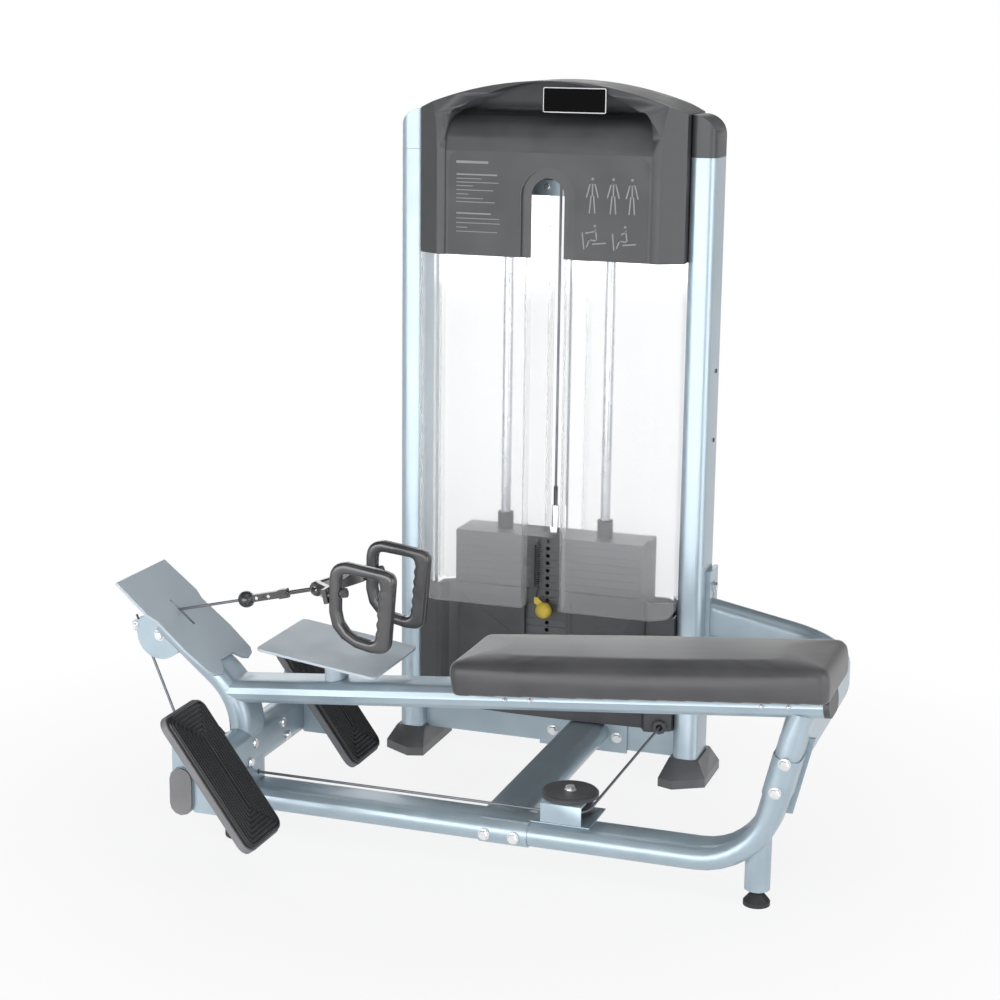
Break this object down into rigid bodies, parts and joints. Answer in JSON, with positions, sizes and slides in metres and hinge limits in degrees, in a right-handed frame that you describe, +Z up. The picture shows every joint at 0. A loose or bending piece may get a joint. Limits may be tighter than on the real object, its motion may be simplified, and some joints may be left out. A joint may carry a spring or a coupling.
{
  "type": "seated cable row machine",
  "caption": "Seated row machine: pin-selected weight stack in a screened tower, cable and pulleys, inclined bench with pedals, and two swivelling handles.",
  "frame": {"origin": "centre of the bounding box at floor level", "axes": "+Z up; +X along the bench, from the pedals towards the raised end of the seat; +Y from the bench towards the weight tower"},
  "size_m": [1.5044, 1.119, 1.566],
  "materials": {
    "frame_paint": "smooth light silver-blue powder coat",
    "plate_paint": "fine-textured light silver-blue powder coat",
    "dark_plastic": "fine-grained dark grey moulding",
    "grey_plastic": "satin mid-grey moulding",
    "rubber": "matt rubber",
    "steel": "bright turned steel",
    "stack_paint": "painted dark grey",
    "frosted": "frosted translucent sheet",
    "yellow_plastic": "moulded yellow knob",
    "leatherette": "dark leatherette, satin",
    "cable_coat": "pale nylon-coated steel cable"
  },
  "bodies": {
    "frame": {"left_post": "frame_paint", "right_post": "frame_paint", "left_post_cap": "frame_paint", "right_post_cap": "dark_plastic", "left_foot_cover": "dark_plastic", "right_foot_cover": "dark_plastic", "base_cross_member": "frame_paint", "top_cross_beam": "frame_paint", "front_top_shroud": "dark_plastic", "rear_top_shroud": "dark_plastic", "front_left_screen": "frosted", "front_right_screen": "frosted", "rear_left_screen": "frosted", "rear_right_screen": "frosted", "front_lower_shroud": "dark_plastic", "rear_lower_shroud": "dark_plastic", "left_guide_rod": "steel", "right_guide_rod": "steel", "stack_cushion": "rubber", "resting_plates": "stack_paint", "frame_cable": "cable_coat", "crossbeam": "frame_paint", "lower_tube": "frame_paint", "rail": "frame_paint", "rail_end_cap": "dark_plastic", "brace_arm": "frame_paint", "step_plate": "plate_paint", "seat_pad": "leatherette", "lower_post": "frame_paint", "round_foot": "rubber", "foot_beam": "frame_paint", "near_beam_cap": "grey_plastic", "far_beam_cap": "grey_plastic", "upright_tube": "frame_paint", "slope_plate": "plate_paint", "near_foot_plate": "grey_plastic", "near_foot_tread": "rubber", "far_foot_plate": "grey_plastic", "far_foot_tread": "rubber", "redirect_bracket": "frame_paint", "redirect_cover": "dark_plastic"},
    "stack": {"head_plate": "stack_paint", "lifted_plates": "stack_paint", "left_rod_collar": "rubber", "right_rod_collar": "rubber", "pin_lanyard": "rubber", "stack_cable": "cable_coat"},
    "pin": {"selector_pin": "yellow_plastic"},
    "puller": {"cable_link": "dark_plastic", "handle_cable": "cable_coat"},
    "yoke": {"v_bracket": "steel"},
    "near_grip": {"near_handle": "dark_plastic"},
    "far_grip": {"far_handle": "dark_plastic"},
    "foot_screw": {"leveling_foot": "rubber"},
    "top_wheel": {"top_pulley": "dark_plastic"},
    "rear_wheel": {"rear_base_pulley": "dark_plastic"},
    "side_wheel": {"side_base_pulley": "dark_plastic"},
    "redirect_wheel": {"redirect_pulley": "dark_plastic"},
    "lower_wheel": {"lower_foot_pulley": "dark_plastic"},
    "heel_wheel": {"upper_foot_pulley": "dark_plastic"}
  },
  "joints": [
    {"name": "stack_lift", "type": "slide", "parent": "frame", "child": "stack", "axis": [0, 0, 1], "range_m": [0, 0.6], "deforming": ["stack_cable"]},
    {"name": "pin_pull", "type": "slide", "parent": "stack", "child": "pin", "axis": [0, -1, 0], "range_m": [0, 0.08]},
    {"name": "handle_pull", "type": "slide", "parent": "frame", "child": "puller", "axis": [0.9715, 0, 0.2368], "range_m": [0, 0.6], "deforming": ["handle_cable"]},
    {"name": "bracket_swivel", "type": "hinge", "parent": "puller", "child": "yoke", "pos_m": [-0.49022, -0.2185, 0.5111], "axis": [0.9715, 0, 0.2368], "range_deg": [-15, 15]},
    {"name": "near_handle_swivel", "type": "hinge", "parent": "yoke", "child": "near_grip", "pos_m": [-0.24422, -0.3145, 0.57106], "axis": [0.9715, 0, 0.2368], "range_deg": [-28, 28]},
    {"name": "far_handle_swivel", "type": "hinge", "parent": "yoke", "child": "far_grip", "pos_m": [-0.24422, -0.1225, 0.57106], "axis": [0.9715, 0, 0.2368], "range_deg": [-28, 28]},
    {"name": "levelling_turn", "type": "hinge", "parent": "frame", "child": "foot_screw", "pos_m": [0.6088, -0.2185, 0], "axis": [0, 0, 1], "range_deg": [-720, 720]},
    {"name": "top_wheel_turn", "type": "hinge", "parent": "frame", "child": "top_wheel", "pos_m": [-0.0292, 0.4945, 1.436], "axis": [1, 0, 0], "range_deg": [-766, 0]},
    {"name": "rear_wheel_turn", "type": "hinge", "parent": "frame", "child": "rear_wheel", "pos_m": [0.0158, 0.5395, 0.18], "axis": [0, 1, 0], "range_deg": [-766, 0]},
    {"name": "side_wheel_turn", "type": "hinge", "parent": "frame", "child": "side_wheel", "pos_m": [0.2078, 0.4945, 0.135], "axis": [0, 0, 1], "range_deg": [-766, 0]},
    {"name": "redirect_wheel_turn", "type": "hinge", "parent": "frame", "child": "redirect_wheel", "pos_m": [0.2078, -0.1735, 0.135], "axis": [0, 0, 1], "range_deg": [-766, 0]},
    {"name": "lower_wheel_turn", "type": "hinge", "parent": "frame", "child": "lower_wheel", "pos_m": [-0.5892, -0.2185, 0.18], "axis": [0, 1, 0], "range_deg": [0, 766]},
    {"name": "heel_wheel_turn", "type": "hinge", "parent": "frame", "child": "heel_wheel", "pos_m": [-0.6862, -0.2185, 0.417], "axis": [0, 1, 0], "range_deg": [0, 766]}
  ],
  "couplings": [
    {"joint": "handle_pull", "follows": "stack_lift", "ratio": 1},
    {"joint": "top_wheel_turn", "follows": "stack_lift", "rad_per_m": -22.222},
    {"joint": "rear_wheel_turn", "follows": "stack_lift", "rad_per_m": -22.222},
    {"joint": "side_wheel_turn", "follows": "stack_lift", "rad_per_m": -22.222},
    {"joint": "redirect_wheel_turn", "follows": "stack_lift", "rad_per_m": -22.222},
    {"joint": "lower_wheel_turn", "follows": "stack_lift", "rad_per_m": 22.222},
    {"joint": "heel_wheel_turn", "follows": "stack_lift", "rad_per_m": 22.222}
  ]
}
